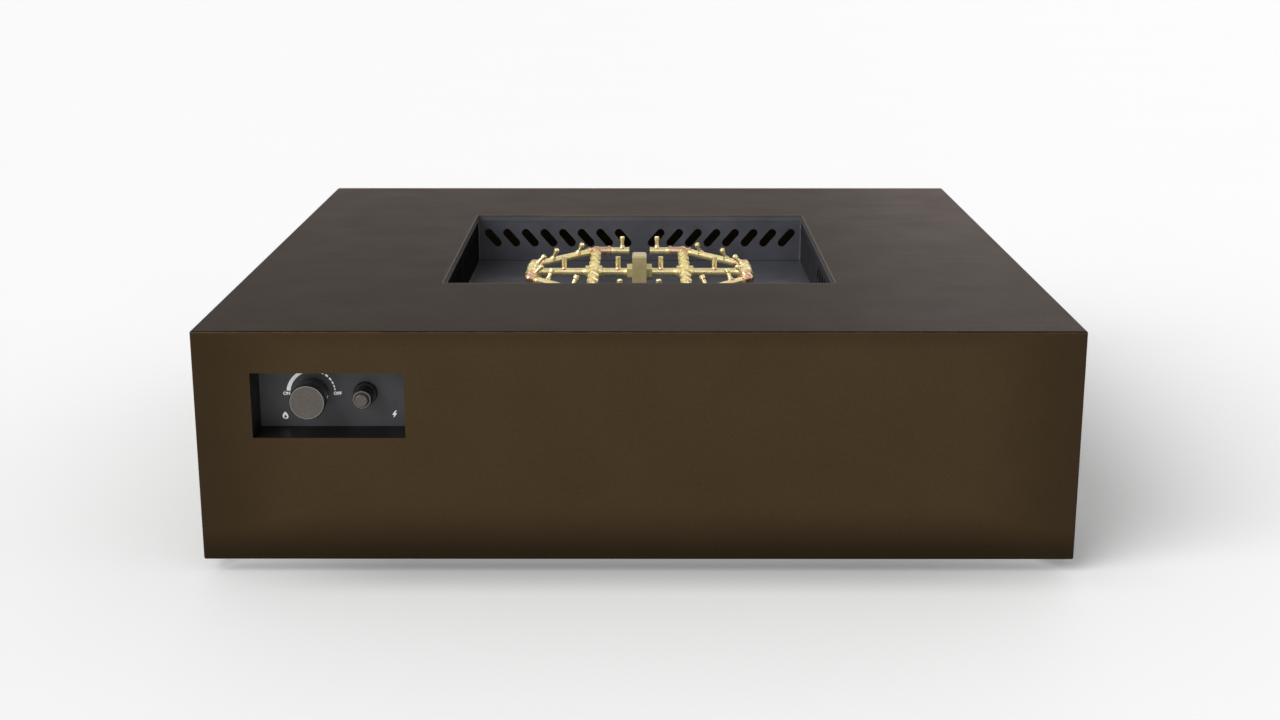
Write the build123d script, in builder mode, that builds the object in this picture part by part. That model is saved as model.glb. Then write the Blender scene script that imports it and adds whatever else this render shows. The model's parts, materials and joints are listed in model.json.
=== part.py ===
"""Square gas fire table: folded sheet shell, slotted fire bay, brass pipe burner, gas controls.

Units are millimetres. The origin is at the middle of the footprint, on the floor. +Z is up, the
front with its control recess faces -Y, and +X is to the right of someone standing in front.
"""
import os
from math import cos, radians, sin, tan

from build123d import *

os.makedirs("parts", exist_ok=True)

# ---- Driving dimensions ----------------------------------------------------------------------
TABLE = 1219.2            # side of the square table, 48 in
BODY_H = 329.0            # bottom edge of the body to the table top
FOOT_H = 20.0             # body's height above the floor on its levelling feet
SHEET = 3.0               # shell sheet
EDGE_R = 2.5              # outer bend radius of the shell
LIP = 30.0                # return flange round the bottom edge
OPENING = 596.9           # square opening in the table top, 23.5 in
BAY_DEPTH = 86.4          # table top down to the bay floor

HALF = TABLE / 2
TOP = FOOT_H + BODY_H
INSIDE = HALF - SHEET     # inner face of the side panels
CLEAR = 0.08              # radial running clearance of shafts in their bores

# Opening frame and bay liner
FRAME_W = 20.0
FRAME_H = 9.0
FRAME_BOTTOM = TOP - SHEET - FRAME_H
LINER_T = 1.5
LINER_STEP = 0.8          # liner stands this far behind the opening's edge
LINER_IN = OPENING / 2 + LINER_STEP
LINER_LIP = 15.0
LINER_R = 3.0
FLOOR_TOP = TOP - BAY_DEPTH
FLOOR_BOTTOM = FLOOR_TOP - LINER_T
FLOOR_GAP = 0.5

# Vent slots: two mirrored groups on each liner wall
SLOTS_PER_GROUP = 8
SLOT_FIRST = 30.6         # centre of the innermost slot from the wall's middle
SLOT_PITCH = 34.5
SLOT_W = 15.0
SLOT_L = 39.5
SLOT_SLANT = 41.0         # degrees from upright, leaning outwards at the top
SLOT_Z = TOP - 43.3

# Base frame and feet
RAIL = 25.0
RAIL_T = 2.0
RAIL_BOTTOM = FOOT_H + SHEET
RAIL_TOP = RAIL_BOTTOM + RAIL
BRACKET = 130.0
BRACKET_T = 4.0
FOOT_INSET = 90.0         # foot centre from the table's outer faces
FOOT_XY = HALF - FOOT_INSET
FOOT_R = 25.0
FOOT_PAD_H = 8.0
FOOT_STEM_R = 5.0
FOOT_STEM_TOP = 78.0
FOOT_NUT_AF = 17.0
FOOT_NUT_H = 8.0

# Control recess in the front face
RECESS_W = 210.2
RECESS_H = 92.0
RECESS_X = -426.1
RECESS_Z = FOOT_H + 224.0
RECESS_DEPTH = 57.0       # front face to control plate
RECESS_T = 1.5
RECESS_FLANGE = 13.5
PLATE_T = 3.0
PLATE_BACK = RECESS_DEPTH + PLATE_T

# Knob and gas valve, placed by their depth behind the front face
CONTROL_Z = FOOT_H + 226.5
KNOB_X = -456.0
KNOB_FACE = 6.0
KNOB_CAP_T = 2.0
KNOB_CAP_R = 24.2
KNOB_R = 25.3
KNOB_BASE_R = 22.4
KNOB_END = 53.0
KNOB_FLUTES = 36
KNOB_FLUTE_R = 0.9
STEM_R = 4.0
STEM_FRONT = 25.0
SHOULDER_FRONT = 70.0
SHOULDER_R = 6.0
SHOULDER_T = 3.0
COLLAR_T = 3.0
CHAMBER_R = 9.5
VALVE_FRONT = PLATE_BACK
BONNET_T = 16.0
VALVE_BACK = 112.0
VALVE_W = 44.0
PLUG_FRONT = 86.0
PLUG_BACK = 106.0
PLUG_FRONT_R = 9.0
PLUG_BACK_R = 7.0
TANG_T = 3.0
TANG_FRONT = 88.0
TANG_END = 97.0
PORT_R = 9.0              # gas ports on valve, inlet and orifice fittings
PORT_L = 10.0
INLET_PORT_X = KNOB_X - 6.0
INLET_PORT_DEPTH = 90.0
SENSOR_PORT_X = KNOB_X + 16.0
SENSOR_PORT_DEPTH = 106.0

# Igniter
IGNITER_X = -382.5
CAP_FACE = 20.0
CAP_R = 13.7
CAP_BORE_R = 9.0
CAP_END = 37.0
BUTTON_FACE = 13.0
BUTTON_R = 8.7
BUTTON_FLANGE_R = 10.2
BUTTON_FLANGE_FRONT = 25.7
BUTTON_FLANGE_T = 2.0
BARREL_FRONT = 33.0
BARREL_R = 12.0
BARREL_BORE_R = 8.9
BARREL_END = 118.0
BASE_R = 16.5
BASE_FRONT = 51.0
BATTERY_R = 7.25
BATTERY_FRONT = 62.0
BATTERY_L = 50.0

# Gas train
HOSE_R = 7.0
HOSE_BORE_R = 4.5
HOSE_NUT_AF = 22.0
HOSE_NUT_L = 18.0
INLET_X = -540.0
INLET_Y = -200.0
INLET_THREAD_R = 10.67    # 1/2 in pipe thread
INLET_BOTTOM = 22.0
SHANK_R = 8.0
SHANK_L = 25.0
MIXER_R = 13.0
MIXER_TOP = FLOOR_TOP - 20.0
MIXER_BOTTOM = MIXER_TOP - 62.0
ORIFICE_BOTTOM = MIXER_BOTTOM - 30.0

# Flame sensing and ignition in the bay
PILOT_Y = -187.0
ELECTRODE_X = -8.0
SENSOR_X = 8.0

# Burner grid, symmetrical about both vertical middle planes
BURNER_Z = FOOT_H + 284.0
PIPE_R = 6.35             # 1/2 in brass tube
PIPE_BORE_R = 4.8
HUB_W = 24.0
HUB_D = 40.0
HUB_TOP = TOP - 14.6
COLLAR_AF = 24.0
COLLAR_L = 9.0
BRANCH_X = 77.0           # both branch pipes' distance from the middle
CROSS_ARM = 14.0
CROSS_ARM_Y = 24.0
TEE_X = 181.0
TEE_ARM = 14.0
TEE_ARM_Y = 30.0
ELBOW_Y = 58.0
ELBOW_ARM = 20.0
CORNER_Y = 183.0
CORNER_ARM = 24.0
CORNER_ARM_X = 25.0
END_PIPE_INNER = 22.0
END_CAP_T = 3.5
COUPLING_AF = 18.0
COUPLING_L = 14.0
COUPLING_Y = (52.0, 92.0, 132.0)
SPINE_JET_X = (36.0, 127.0)
DIAGONAL_JET_AT = (44.0, 110.0)   # along the diagonal from its outer corner
END_JET_X = 31.0
TEE_JET_Y = 42.0
DIAGONAL_LEAN = 30.0              # degrees from upright, towards the middle
TEE_LEAN = 45.0
JET_H = 21.0
JET_SINK = 1.5            # a jet's foot is saddled this far onto its pipe
TEE_R = 9.2
CROSS_R = 8.8
OUTER_ELBOW_R = 8.0
CORNER_R = 7.4
QUADRANTS = [(sx, sy) for sx in (-1, 1) for sy in (-1, 1)]


# ---- Helpers ---------------------------------------------------------------------------------
def save(piece, name):
    """Label a finished piece and write its STEP file."""
    piece.part.label = name
    export_step(piece.part, f"parts/{name}.step")


def depth_plane(depth):
    """Upright plane this far behind the front face, with local x along +X and y up."""
    return Plane.XZ.offset(HALF - depth)


def control_profile(x):
    """Plane through a control's axis: local x is the radius, local y the depth from the front."""
    return Plane(origin=(x, -HALF, CONTROL_Z), x_dir=(1, 0, 0), z_dir=(0, 0, 1))


def control_axis(x):
    return Axis((x, -HALF, CONTROL_Z), (0, 1, 0))


def turned(x, y, z, angle):
    """A point or direction turned about the vertical axis."""
    return Vector(x, y, z).rotate(Axis.Z, angle)


def mitres(angle):
    """The two upright planes that bound the side which faces -Y once it is turned."""
    return [
        Plane(origin=(0, 0, 0), z_dir=turned(-1, -1, 0, angle)),
        Plane(origin=(0, 0, 0), z_dir=turned(1, -1, 0, angle)),
    ]


def square_ring(outer, inner, bottom, height):
    """Add a flat square ring to the part that is being built."""
    with BuildSketch(Plane.XY.offset(bottom)) as ring:
        Rectangle(outer, outer)
        Rectangle(inner, inner, mode=Mode.SUBTRACT)
    extrude(ring.sketch, amount=height)


def tube(start, end, radius, bore=0.0):
    """Add a straight round tube or bar from start to end."""
    span = Vector(*end) - Vector(*start)
    with BuildSketch(Plane(origin=start, z_dir=span)) as section:
        Circle(radius)
        if bore:
            Circle(bore, mode=Mode.SUBTRACT)
    extrude(section.sketch, amount=span.length)


def hexagon(start, end, across_flats, bore=0.0):
    """Add a hexagonal bar or nut from start to end."""
    span = Vector(*end) - Vector(*start)
    with BuildSketch(Plane(origin=start, z_dir=span)) as section:
        RegularPolygon(across_flats / 2, 6, major_radius=False)
        if bore:
            Circle(bore, mode=Mode.SUBTRACT)
    extrude(section.sketch, amount=span.length)


def along(start, direction, distance):
    """The point this far from start in a direction."""
    return tuple(Vector(*start) + Vector(*direction).normalized() * distance)


def arm_plane(start, direction):
    """Plane across a fitting's arm, with its circle's start turned clear of the other arms."""
    seam_turn = 35
    out = Vector(*direction).normalized()
    side = out.cross(Vector(0, 0, 1)).normalized()
    up = side.cross(out)
    return Plane(start, x_dir=side * cos(radians(seam_turn)) + up * sin(radians(seam_turn)), z_dir=out)


def fitting_arm(centre, direction, length, radius):
    """Add one arm of a pipe fitting: a barrel with a thicker band at its mouth."""
    band = 5.0
    with BuildSketch(arm_plane(centre, direction)) as barrel:
        Circle(radius)
    extrude(barrel.sketch, amount=length)
    with BuildSketch(arm_plane(along(centre, direction, length - band), direction)) as mouth:
        Circle(radius + 1.6)
    extrude(mouth.sketch, amount=band)


def bore_arm(centre, direction, length):
    """Cut the gas passage of one fitting arm."""
    with BuildSketch(arm_plane(centre, direction)) as passage:
        Circle(PIPE_BORE_R)
    extrude(passage.sketch, amount=length + 1, mode=Mode.SUBTRACT)


def fitting(centre, arms, radius):
    """Add a fitting at centre; arms is a list of direction and length pairs."""
    knuckle = radius + 1.2
    with Locations(centre):
        Sphere(knuckle)
    for direction, length in arms:
        fitting_arm(centre, direction, length, radius)
    for direction, length in arms:
        bore_arm(centre, direction, length)


def jet(foot, direction):
    """Add one burner jet: a threaded foot, a narrow neck and a cupped head."""
    axis = Vector(*direction).normalized()
    side = axis.cross(Vector(0, 1, 0)).normalized()
    with BuildSketch(Plane(origin=foot, x_dir=side, z_dir=side.cross(axis))) as profile:
        with BuildLine():
            Polyline((0, 0), (4.2, 0), (4.2, 4), (3.2, 5.5), (3.2, 13), (4.4, 15), (4.4, JET_H - 1.2))
            Line((4.4, JET_H - 1.2), (3.6, JET_H))
            Polyline((3.6, JET_H), (2.6, JET_H), (1.2, JET_H - 3), (0, JET_H - 3), (0, 0))
        make_face()
    revolve(profile.sketch, axis=Axis(foot, axis))


def pillar_jet(foot):
    """Add one upright spine jet: a plain turned pillar with a drilled top."""
    drill_depth = 5.0
    x, y, z = foot
    tube(foot, (x, y, z + JET_H), 4.15)
    with BuildSketch(Plane.XY.offset(z + JET_H)) as drill:
        with Locations((x, y)):
            Circle(1.6)
    extrude(drill.sketch, amount=-drill_depth, mode=Mode.SUBTRACT)


def bend_radii(points):
    """Bend radius at each inner point: as large as the shorter of its two runs allows."""
    radii = []
    for before, here, after in zip(points, points[1:], points[2:]):
        arriving = Vector(*here) - Vector(*before)
        leaving = Vector(*after) - Vector(*here)
        half_turn = radians(arriving.get_angle(leaving)) / 2
        radii.append(0.45 * min(arriving.length, leaving.length) / tan(half_turn))
    return radii


def bent_tube(name, points, radius, bore=0.0):
    """Build and write a flexible hose or lead along straight runs joined by tangent arcs."""
    radii = bend_radii(points)
    print(name, "bend radii", [round(r) for r in radii])
    with BuildPart() as hose:
        with BuildLine() as route:
            FilletPolyline(*points, radius=radii)
        first_run = Vector(*points[1]) - Vector(*points[0])
        with BuildSketch(Plane(origin=points[0], z_dir=first_run)):
            Circle(radius)
            if bore:
                Circle(bore, mode=Mode.SUBTRACT)
        sweep(path=route.wires()[0])
    save(hose, name)


def coil(name, x, front, back, radius, wire_r, turns):
    """Build and write a compression spring on a control's axis."""
    length = back - front - 2 * wire_r
    start = -HALF + front + wire_r
    with BuildPart() as spring:
        with BuildLine() as path:
            Helix(length / turns, length, radius, center=(x, start, CONTROL_Z), direction=(0, 1, 0))
        wire_start = path.line @ 0
        with BuildSketch(Plane(origin=wire_start, z_dir=path.line % 0)):
            Circle(wire_r)
        sweep(path=path.wires()[0], is_frenet=True)
    save(spring, name)


# ---- Table shell -----------------------------------------------------------------------------
with BuildPart() as shell:
    with Locations((0, 0, FOOT_H + BODY_H / 2)):
        Box(TABLE, TABLE, BODY_H)
    fillet(shell.edges(), EDGE_R)
    with Locations((0, 0, FOOT_H + BODY_H / 2)):
        Box(2 * INSIDE, 2 * INSIDE, BODY_H - 2 * SHEET, mode=Mode.SUBTRACT)
    with Locations((0, 0, FOOT_H)):
        Box(TABLE - 2 * LIP, TABLE - 2 * LIP, 4 * SHEET, mode=Mode.SUBTRACT)
    with Locations((0, 0, TOP)):
        Box(OPENING, OPENING, 4 * SHEET, mode=Mode.SUBTRACT)

with BuildPart() as top_panel:
    add(shell.part)
    for angle in (0, 90, 180, 270):
        mitre = Plane(origin=turned(0, -HALF, TOP, angle), z_dir=turned(0, 1, 1, angle))
        split(bisect_by=mitre, keep=Keep.TOP)
save(top_panel, "top_panel")

for name, angle in (("front", 0), ("right", 90), ("back", 180), ("left", 270)):
    with BuildPart() as side_panel:
        add(shell.part)
        mitre = Plane(origin=turned(0, -HALF, TOP, angle), z_dir=turned(0, -1, -1, angle))
        split(bisect_by=mitre, keep=Keep.TOP)
        for mitre in mitres(angle):
            split(bisect_by=mitre, keep=Keep.TOP)
        if name == "front":
            with Locations((RECESS_X, -HALF, RECESS_Z)):
                Box(RECESS_W, 4 * SHEET, RECESS_H, mode=Mode.SUBTRACT)
    save(side_panel, f"{name}_panel")

# ---- Base frame and feet ---------------------------------------------------------------------
with BuildPart() as base_rails:
    rail_y = INSIDE - RAIL / 2
    rail_z = RAIL_BOTTOM + RAIL / 2
    for side in (-1, 1):
        with Locations((0, side * rail_y, rail_z)):
            Box(2 * INSIDE, RAIL, RAIL)
            Box(2 * INSIDE, RAIL - 2 * RAIL_T, RAIL - 2 * RAIL_T, mode=Mode.SUBTRACT)
        with Locations((side * rail_y, 0, rail_z)):
            Box(RAIL, 2 * (INSIDE - RAIL), RAIL)
            Box(RAIL - 2 * RAIL_T, 2 * (INSIDE - RAIL), RAIL - 2 * RAIL_T, mode=Mode.SUBTRACT)
save(base_rails, "base_rails")

with BuildPart() as corner_brackets:
    for sx, sy in QUADRANTS:
        centre = INSIDE - BRACKET / 2
        with BuildSketch(Plane.XY.offset(RAIL_TOP)) as bracket:
            with Locations((sx * centre, sy * centre)):
                Rectangle(BRACKET, BRACKET)
            inner_corner = bracket.vertices().sort_by_distance((0, 0, RAIL_TOP))[0]
            chamfer(inner_corner, BRACKET / 3)
            with Locations((sx * FOOT_XY, sy * FOOT_XY)):
                Circle(FOOT_STEM_R + CLEAR, mode=Mode.SUBTRACT)
        extrude(amount=BRACKET_T)
save(corner_brackets, "corner_brackets")

with BuildPart() as foot_nuts:
    for sx, sy in QUADRANTS:
        bottom = RAIL_TOP + BRACKET_T
        nut_start = (sx * FOOT_XY, sy * FOOT_XY, bottom)
        nut_end = (sx * FOOT_XY, sy * FOOT_XY, bottom + FOOT_NUT_H)
        hexagon(nut_start, nut_end, FOOT_NUT_AF, FOOT_STEM_R + CLEAR)
save(foot_nuts, "foot_nuts")

for sx, sy in QUADRANTS:
    x = sx * FOOT_XY
    y = sy * FOOT_XY
    with BuildPart() as foot:
        tube((x, y, 0), (x, y, FOOT_PAD_H), FOOT_R)
        fillet(foot.edges().sort_by(Axis.Z)[-1], 3)
        tube((x, y, FOOT_PAD_H), (x, y, FOOT_PAD_H + 5), 9)
        tube((x, y, FOOT_PAD_H), (x, y, FOOT_STEM_TOP), FOOT_STEM_R)
    side_name = "left" if sx < 0 else "right"
    end_name = "front" if sy < 0 else "back"
    save(foot, f"foot_{end_name}_{side_name}")

# ---- Fire bay --------------------------------------------------------------------------------
with BuildPart() as opening_frame:
    square_ring(OPENING + 2 * FRAME_W, OPENING, FRAME_BOTTOM, FRAME_H)
save(opening_frame, "opening_frame")

with BuildPart() as liner:
    liner_out = LINER_IN + LINER_T
    lip_bottom = FLOOR_BOTTOM - LINER_T
    with BuildSketch(Plane.XY.offset(lip_bottom)):
        RectangleRounded(2 * liner_out, 2 * liner_out, LINER_R + LINER_T)
    extrude(amount=FRAME_BOTTOM - lip_bottom)
    with BuildSketch(Plane.XY.offset(FRAME_BOTTOM - LINER_T)):
        Rectangle(OPENING + 2 * FRAME_W, OPENING + 2 * FRAME_W)
    extrude(amount=LINER_T)
    with BuildSketch(Plane.XY.offset(FLOOR_BOTTOM)):
        RectangleRounded(2 * LINER_IN, 2 * LINER_IN, LINER_R)
    extrude(amount=BAY_DEPTH, mode=Mode.SUBTRACT)
    with BuildSketch(Plane.XY.offset(lip_bottom)):
        Rectangle(2 * (LINER_IN - LINER_LIP), 2 * (LINER_IN - LINER_LIP))
    extrude(amount=BAY_DEPTH, mode=Mode.SUBTRACT)
    for wall_plane in (Plane.XZ, Plane.YZ):
        with BuildSketch(wall_plane):
            for side in (-1, 1):
                for index in range(SLOTS_PER_GROUP):
                    with Locations((side * (SLOT_FIRST + index * SLOT_PITCH), SLOT_Z)):
                        SlotOverall(SLOT_L, SLOT_W, rotation=90 - side * SLOT_SLANT)
        extrude(amount=HALF, both=True, mode=Mode.SUBTRACT)

for name, angle in (("front", 0), ("right", 90), ("back", 180), ("left", 270)):
    with BuildPart() as liner_wall:
        add(liner.part)
        for mitre in mitres(angle):
            split(bisect_by=mitre, keep=Keep.TOP)
    save(liner_wall, f"liner_{name}")

with BuildPart() as bay_floor:
    floor_side = 2 * (LINER_IN - FLOOR_GAP)
    with BuildSketch(Plane.XY.offset(FLOOR_BOTTOM)):
        RectangleRounded(floor_side, floor_side, LINER_R)
        Circle(SHANK_R + 0.5, mode=Mode.SUBTRACT)
        with Locations((ELECTRODE_X, PILOT_Y), (SENSOR_X, PILOT_Y)):
            Circle(3.5, mode=Mode.SUBTRACT)
    extrude(amount=LINER_T)
save(bay_floor, "bay_floor")

# ---- Control recess --------------------------------------------------------------------------
with BuildPart() as recess_box:
    with BuildSketch(depth_plane(SHEET)):
        with Locations((RECESS_X, RECESS_Z)):
            Rectangle(RECESS_W + 2 * RECESS_T, RECESS_H + 2 * RECESS_T)
    extrude(amount=-(RECESS_DEPTH - SHEET))
    with BuildSketch(depth_plane(RECESS_DEPTH - RECESS_T)):
        with Locations((RECESS_X, RECESS_Z)):
            Rectangle(RECESS_W + 2 * RECESS_FLANGE, RECESS_H + 2 * RECESS_FLANGE)
    extrude(amount=-RECESS_T)
    with BuildSketch(depth_plane(SHEET)):
        with Locations((RECESS_X, RECESS_Z)):
            Rectangle(RECESS_W, RECESS_H)
    extrude(amount=-RECESS_DEPTH, mode=Mode.SUBTRACT)
save(recess_box, "recess_box")

with BuildPart() as control_plate:
    with BuildSketch(depth_plane(RECESS_DEPTH)):
        with Locations((RECESS_X, RECESS_Z)):
            Rectangle(RECESS_W + 2 * RECESS_FLANGE, RECESS_H + 2 * RECESS_FLANGE)
        with Locations((KNOB_X, CONTROL_Z)):
            Circle(STEM_R + 0.5, mode=Mode.SUBTRACT)
        with Locations((IGNITER_X, CONTROL_Z)):
            Circle(BARREL_R + CLEAR, mode=Mode.SUBTRACT)
    extrude(amount=-PLATE_T)
save(control_plate, "control_plate")

# Pan-head screws: four behind the control plate, twelve under the liner flange.
with BuildPart() as panel_screws:
    head_r = 4.0
    head_h = 3.0
    screw_x = RECESS_W / 2 + RECESS_FLANGE / 2
    screw_z = RECESS_H / 2 + RECESS_FLANGE / 2
    with BuildSketch(depth_plane(PLATE_BACK)):
        with Locations((RECESS_X, RECESS_Z)):
            with GridLocations(2 * screw_x, 2 * screw_z, 2, 2):
                Circle(head_r)
    extrude(amount=-head_h)
    flange_middle = OPENING / 2 + FRAME_W / 2 + 1
    flange_bottom = FRAME_BOTTOM - LINER_T
    with BuildSketch(Plane.XY.offset(flange_bottom)):
        for reach in (-OPENING / 3, 0, OPENING / 3):
            for side in (-flange_middle, flange_middle):
                with Locations((reach, side), (side, reach)):
                    Circle(head_r)
    extrude(amount=-head_h)
save(panel_screws, "panel_screws")

# ---- Knob ------------------------------------------------------------------------------------
with BuildPart() as knob:
    body_front = KNOB_FACE + KNOB_CAP_T
    with BuildSketch(control_profile(KNOB_X)):
        with BuildLine():
            Polyline(
                (0, body_front),
                (KNOB_CAP_R + 0.2, body_front),
                (KNOB_R, body_front + 1.2),
                (KNOB_BASE_R, KNOB_END - 2),
                (KNOB_BASE_R - 1, KNOB_END),
                (STEM_R + 0.03, KNOB_END),
                (STEM_R + 0.03, STEM_FRONT),
                (0, STEM_FRONT),
                (0, body_front),
            )
        make_face()
    revolve(axis=control_axis(KNOB_X))
    with BuildSketch(depth_plane(body_front)):
        with Locations((KNOB_X, CONTROL_Z)):
            with PolarLocations(KNOB_R, KNOB_FLUTES):
                Circle(KNOB_FLUTE_R)
    extrude(amount=-KNOB_END, mode=Mode.SUBTRACT)
save(knob, "knob")

with BuildPart() as knob_cap:
    tube((KNOB_X, -HALF + KNOB_FACE + KNOB_CAP_T, CONTROL_Z), (KNOB_X, -HALF + KNOB_FACE, CONTROL_Z), KNOB_CAP_R)
    chamfer(knob_cap.edges().sort_by(Axis.Y)[0], 0.8)
save(knob_cap, "knob_cap")

with BuildPart() as valve_stem:
    shoulder_back = SHOULDER_FRONT + SHOULDER_T
    with BuildSketch(control_profile(KNOB_X)):
        with BuildLine():
            Polyline(
                (0, STEM_FRONT),
                (STEM_R, STEM_FRONT),
                (STEM_R, SHOULDER_FRONT),
                (SHOULDER_R, SHOULDER_FRONT),
                (SHOULDER_R, shoulder_back),
                (STEM_R, shoulder_back),
                (STEM_R, TANG_END),
                (0, TANG_END),
                (0, STEM_FRONT),
            )
        make_face()
    revolve(axis=control_axis(KNOB_X))
    tang_y = -HALF + (TANG_FRONT + TANG_END) / 2
    flat_offset = TANG_T / 2 + STEM_R
    with Locations((KNOB_X, tang_y, CONTROL_Z + flat_offset), (KNOB_X, tang_y, CONTROL_Z - flat_offset)):
        Box(4 * STEM_R, TANG_END - TANG_FRONT, 2 * STEM_R, mode=Mode.SUBTRACT)
save(valve_stem, "valve_stem")

with BuildPart() as stem_collar:
    collar_front = SHOULDER_FRONT + SHOULDER_T
    with BuildSketch(depth_plane(collar_front)):
        with Locations((KNOB_X, CONTROL_Z)):
            Circle(CHAMBER_R - CLEAR)
            Circle(STEM_R + CLEAR, mode=Mode.SUBTRACT)
    extrude(amount=-COLLAR_T)
save(stem_collar, "stem_collar")

coil("stem_spring", KNOB_X, SHOULDER_FRONT + SHOULDER_T + COLLAR_T, PLUG_FRONT, 7.2, 0.6, 4)

# ---- Gas valve -------------------------------------------------------------------------------
with BuildPart() as valve_plug:
    with BuildSketch(control_profile(KNOB_X)):
        Polygon(
            (0, PLUG_FRONT),
            (PLUG_FRONT_R - CLEAR, PLUG_FRONT),
            (PLUG_BACK_R - CLEAR, PLUG_BACK),
            (0, PLUG_BACK),
            align=None,
        )
    revolve(axis=control_axis(KNOB_X))
    socket_r = STEM_R + 0.3
    with BuildSketch(depth_plane(PLUG_FRONT)):
        with Locations((KNOB_X, CONTROL_Z)):
            Circle(socket_r)
    extrude(amount=-(TANG_FRONT + 4 - PLUG_FRONT), mode=Mode.SUBTRACT)
    with BuildSketch(depth_plane(PLUG_FRONT)):
        with Locations((KNOB_X, CONTROL_Z)):
            Rectangle(2 * socket_r, TANG_T + 0.6)
    extrude(amount=-(TANG_END + 4 - PLUG_FRONT), mode=Mode.SUBTRACT)
save(valve_plug, "valve_plug")

with BuildPart() as valve_bonnet:
    with BuildSketch(depth_plane(VALVE_FRONT)):
        with Locations((KNOB_X, CONTROL_Z)):
            RectangleRounded(VALVE_W, VALVE_W, 4)
            Circle(STEM_R + CLEAR, mode=Mode.SUBTRACT)
    extrude(amount=-BONNET_T)
    with BuildSketch(depth_plane(SHOULDER_FRONT)):
        with Locations((KNOB_X, CONTROL_Z)):
            Circle(CHAMBER_R)
    extrude(amount=-(VALVE_FRONT + BONNET_T - SHOULDER_FRONT), mode=Mode.SUBTRACT)
save(valve_bonnet, "valve_bonnet")

with BuildPart() as valve_body:
    body_front = VALVE_FRONT + BONNET_T
    body_bottom = CONTROL_Z - VALVE_W / 2
    with BuildSketch(depth_plane(body_front)):
        with Locations((KNOB_X, CONTROL_Z)):
            RectangleRounded(VALVE_W, VALVE_W, 4)
    extrude(amount=-(VALVE_BACK - body_front))
    back_y = -HALF + VALVE_BACK
    tube((KNOB_X, back_y, CONTROL_Z), (KNOB_X, back_y + PORT_L, CONTROL_Z), PORT_R)
    inlet_y = -HALF + INLET_PORT_DEPTH
    tube((INLET_PORT_X, inlet_y, body_bottom), (INLET_PORT_X, inlet_y, body_bottom - PORT_L), PORT_R)
    with BuildSketch(control_profile(KNOB_X)):
        Polygon(
            (0, body_front),
            (CHAMBER_R, body_front),
            (CHAMBER_R, PLUG_FRONT),
            (PLUG_FRONT_R, PLUG_FRONT),
            (PLUG_BACK_R, PLUG_BACK),
            (HOSE_BORE_R, PLUG_BACK),
            (HOSE_BORE_R, VALVE_BACK + PORT_L),
            (0, VALVE_BACK + PORT_L),
            align=None,
        )
    revolve(axis=control_axis(KNOB_X), mode=Mode.SUBTRACT)
    with BuildSketch(Plane.XY.offset(body_bottom - PORT_L)):
        with Locations((INLET_PORT_X, inlet_y)):
            Circle(HOSE_BORE_R)
    extrude(amount=PORT_L + VALVE_W / 2 - 2, mode=Mode.SUBTRACT)
save(valve_body, "valve_body")

# ---- Igniter ---------------------------------------------------------------------------------
with BuildPart() as igniter_barrel:
    with BuildSketch(control_profile(IGNITER_X)):
        Polygon(
            (BARREL_BORE_R, BARREL_FRONT),
            (BARREL_R, BARREL_FRONT),
            (BARREL_R, BASE_FRONT),
            (BASE_R - 1, BASE_FRONT),
            (BASE_R, BASE_FRONT + 1),
            (BASE_R, RECESS_DEPTH),
            (BARREL_R, RECESS_DEPTH),
            (BARREL_R, BARREL_END),
            (0, BARREL_END),
            (0, BARREL_END - 2),
            (BARREL_BORE_R, BARREL_END - 2),
            align=None,
        )
    revolve(axis=control_axis(IGNITER_X))
save(igniter_barrel, "igniter_barrel")

with BuildPart() as igniter_cap:
    with BuildSketch(control_profile(IGNITER_X)):
        Polygon(
            (CAP_BORE_R, CAP_FACE + 1),
            (CAP_BORE_R + 1, CAP_FACE),
            (CAP_R - 1.4, CAP_FACE),
            (CAP_R, CAP_FACE + 1.4),
            (CAP_R, CAP_END),
            (BARREL_R + 0.03, CAP_END),
            (BARREL_R + 0.03, BARREL_FRONT),
            (BUTTON_FLANGE_R + 0.4, BARREL_FRONT),
            (BUTTON_FLANGE_R + 0.4, BUTTON_FLANGE_FRONT - 0.3),
            (CAP_BORE_R, BUTTON_FLANGE_FRONT - 0.3),
            align=None,
        )
    revolve(axis=control_axis(IGNITER_X))
save(igniter_cap, "igniter_cap")

with BuildPart() as igniter_button:
    flange_back = BUTTON_FLANGE_FRONT + BUTTON_FLANGE_T
    plunger_r = 4.0
    plunger_end = 50.0
    with BuildSketch(control_profile(IGNITER_X)):
        Polygon(
            (0, BUTTON_FACE),
            (BUTTON_R - 1, BUTTON_FACE),
            (BUTTON_R, BUTTON_FACE + 1),
            (BUTTON_R, BUTTON_FLANGE_FRONT),
            (BUTTON_FLANGE_R, BUTTON_FLANGE_FRONT),
            (BUTTON_FLANGE_R, flange_back),
            (plunger_r, flange_back),
            (plunger_r, plunger_end),
            (0, plunger_end),
            align=None,
        )
    revolve(axis=control_axis(IGNITER_X))
save(igniter_button, "igniter_button")

coil("button_spring", IGNITER_X, BUTTON_FLANGE_FRONT + BUTTON_FLANGE_T, BATTERY_FRONT, 6.0, 0.5, 9)

with BuildPart() as battery:
    nub_r = 2.7
    nub_h = 1.4
    back_y = -HALF + BATTERY_FRONT
    tube((IGNITER_X, back_y, CONTROL_Z), (IGNITER_X, back_y + BATTERY_L, CONTROL_Z), BATTERY_R)
    tube((IGNITER_X, back_y, CONTROL_Z), (IGNITER_X, back_y - nub_h, CONTROL_Z), nub_r)
save(battery, "battery")

with BuildPart() as igniter_nut:
    nut_y = -HALF + PLATE_BACK
    hexagon((IGNITER_X, nut_y, CONTROL_Z), (IGNITER_X, nut_y + 6, CONTROL_Z), 30, BARREL_R + 0.03)
save(igniter_nut, "igniter_nut")

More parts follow.
